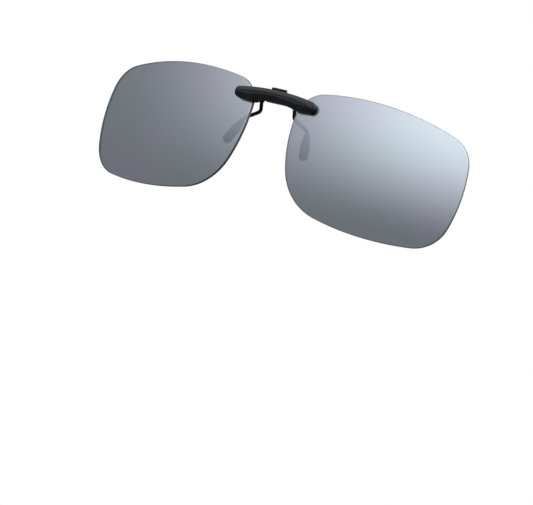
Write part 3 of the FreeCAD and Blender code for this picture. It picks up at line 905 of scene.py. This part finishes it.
# %% Steel finishes
def marked_steel(name, dark, light, mark_mm, rough):
    """A metal whose marks are noise, each as long in X, Y and Z as mark_mm says, in millimetres."""
    material, tree, shader, where = new_material(name)
    squeezed = add(tree, "Mapping", Vector=where, Scale=[per_metre(size) for size in mark_mm])
    marks = add(tree, "TexNoise", Vector=squeezed.outputs["Vector"], Scale=1.0, Detail=4)
    colour = add(tree, "ValToRGB", Fac=marks.outputs["Fac"])
    colour.color_ramp.elements[0].color, colour.color_ramp.elements[1].color = linear(dark), linear(light)
    sheen = add(tree, "MapRange", Value=marks.outputs["Fac"], To_Min=rough[0], To_Max=rough[1])
    bump = add(tree, "Bump", Height=marks.outputs["Fac"], Strength=0.3, Distance=0.004 * MM)
    tree.links.new(colour.outputs["Color"], shader.inputs["Base Color"])
    tree.links.new(sheen.outputs["Result"], shader.inputs["Roughness"])
    tree.links.new(bump.outputs["Normal"], shader.inputs["Normal"])
    shader.inputs["Metallic"].default_value = 1
    return material


ground_steel = marked_steel("ground_steel_pin", "#8C8D90", "#B5B6B8", (0.06, 1, 1), (0.2, 0.4))
drawn_steel = marked_steel("drawn_spring_steel", "#7E7F82", "#A9AAAD", (0.4, 0.4, 0.4), (0.25, 0.45))
print("steel finishes", ground_steel.name, "and", drawn_steel.name)

# %% Every piece gets its finish
dress(cover, satin_lacquer)
dress(housing, satin_lacquer)
dress(lever, satin_lacquer)
dress(pin, ground_steel)
dress(spring, drawn_steel)
dress(washers, acetal)
pairs = {"arm_": wire_coat, "collar_": wire_coat, "rivets_": rivet_black, "sleeves_": gasket_rubber}
for side, _ in SIDES:
    for stem, finish in pairs.items():
        dress(bpy.data.objects[stem + side], finish)
    dress(bpy.data.objects["pad_" + side + "_rubber"], silicone)
    dress(frame["nodes"]["lens_gasket_" + side], gasket_rubber)
print("materials in use", len([m for m in bpy.data.materials if m.users]))

# %% [markdown]
# ## Studio
# A mirror shows its studio. One soft light source, high and to the right, that fades away slowly, is what
# gives a mirrored lens a calm gradient instead of a hard-edged patch. Here the fade is the sky itself: it
# is bright towards the upper right, and dark and slightly blue below the horizon and to the left. Seen
# directly, the background is plain white paper. Area lights fill in the floor and the matt parts, and stay
# out of the reflections.

# %% Sky
SKY_DARK, SKY_BRIGHT = (0.165, 0.182, 0.215), (1.86, 1.84, 1.86)
FADE_UP, FADE_RIGHT = (-0.14, 0.41), (-1.15, 0.2)
world = bpy.data.worlds.new("studio")
world.use_nodes = True
bpy.context.scene.world = world
tree = world.node_tree
tree.nodes.clear()
towards = add(tree, "SeparateXYZ", Vector=add(tree, "TexCoord").outputs["Generated"])
high = add(tree, "MapRange", {"interpolation_type": "SMOOTHSTEP"}, Value=towards.outputs["Z"],
           From_Min=FADE_UP[0], From_Max=FADE_UP[1])
right_hand = add(tree, "MapRange", {"interpolation_type": "SMOOTHSTEP"}, Value=towards.outputs["X"],
                 From_Min=FADE_RIGHT[0], From_Max=FADE_RIGHT[1])
both = add(tree, "Math", {"operation": "MULTIPLY"}, i0=high.outputs["Result"],
           i1=right_hand.outputs["Result"])
level = add(tree, "VectorMath", {"operation": "MULTIPLY_ADD"}, i0=both.outputs["Value"],
            i1=SKY_BRIGHT, i2=SKY_DARK)
glow = add(tree, "Background", Color=level.outputs["Vector"], Strength=1.0)
paper = add(tree, "Background", Color=linear("#FFFFFF"), Strength=1.0)
seen = add(tree, "LightPath").outputs["Is Camera Ray"]
mix = add(tree, "MixShader", i0=seen, i1=glow.outputs["Background"], i2=paper.outputs["Background"])
add(tree, "OutputWorld", Surface=mix.outputs["Shader"])
print("the sky's brightest part is about", round(SKY_BRIGHT[1] / SKY_DARK[1] + 1), "times its darkest")

# %% Lights and floor
def area_light(name, place, aim, size, watts):
    """A square light that faces a point and doesn't show in reflections."""
    light = bpy.data.objects.new(name, bpy.data.lights.new(name, "AREA"))
    light.data.size, light.data.energy = size, watts
    light.location = place
    light.rotation_euler = (Vector(aim) - Vector(place)).to_track_quat("-Z", "Y").to_euler()
    light.visible_glossy = False
    bpy.context.scene.collection.objects.link(light)


area_light("key", (0.9, -1.1, 1.3), (0, 0, 0), 0.9, 28)
area_light("fill", (-1.3, -0.7, 0.7), (0, 0, 0), 1.2, 14)
area_light("back", (0.2, 1.4, 1.1), (0, 0, 0), 1.0, 18)

# The pair floats well above a round pale floor, so that a camera a little below it still stands over it.
FLOOR_DROP, FLOOR_R, FLOOR_SIDES = 0.6, 2.0, 160
angle = np.linspace(0, 2 * math.pi, FLOOR_SIDES, endpoint=False)
floor_rim = np.column_stack([FLOOR_R * np.cos(angle), FLOOR_R * np.sin(angle),
                             np.full(FLOOR_SIDES, -FLOOR_DROP)])
floor_mesh = bpy.data.meshes.new("floor")
floor_mesh.from_pydata(floor_rim.tolist(), [], [list(range(FLOOR_SIDES))])
floor = bpy.data.objects.new("floor", floor_mesh)
bpy.context.scene.collection.objects.link(floor)
pale_floor = bpy.data.materials.new("pale_paper")
pale_floor.use_nodes = True
paper_shader = pale_floor.node_tree.nodes["Principled BSDF"]
paper_shader.inputs["Base Color"].default_value = linear("#C6C6C6")
paper_shader.inputs["Roughness"].default_value = 0.9
floor_mesh.materials.append(pale_floor)
floor.visible_glossy = False
print("floor", FLOOR_DROP, "m below the origin, and", len(bpy.data.lights), "area lights")

bpy.context.scene.view_settings.view_transform = "Standard"
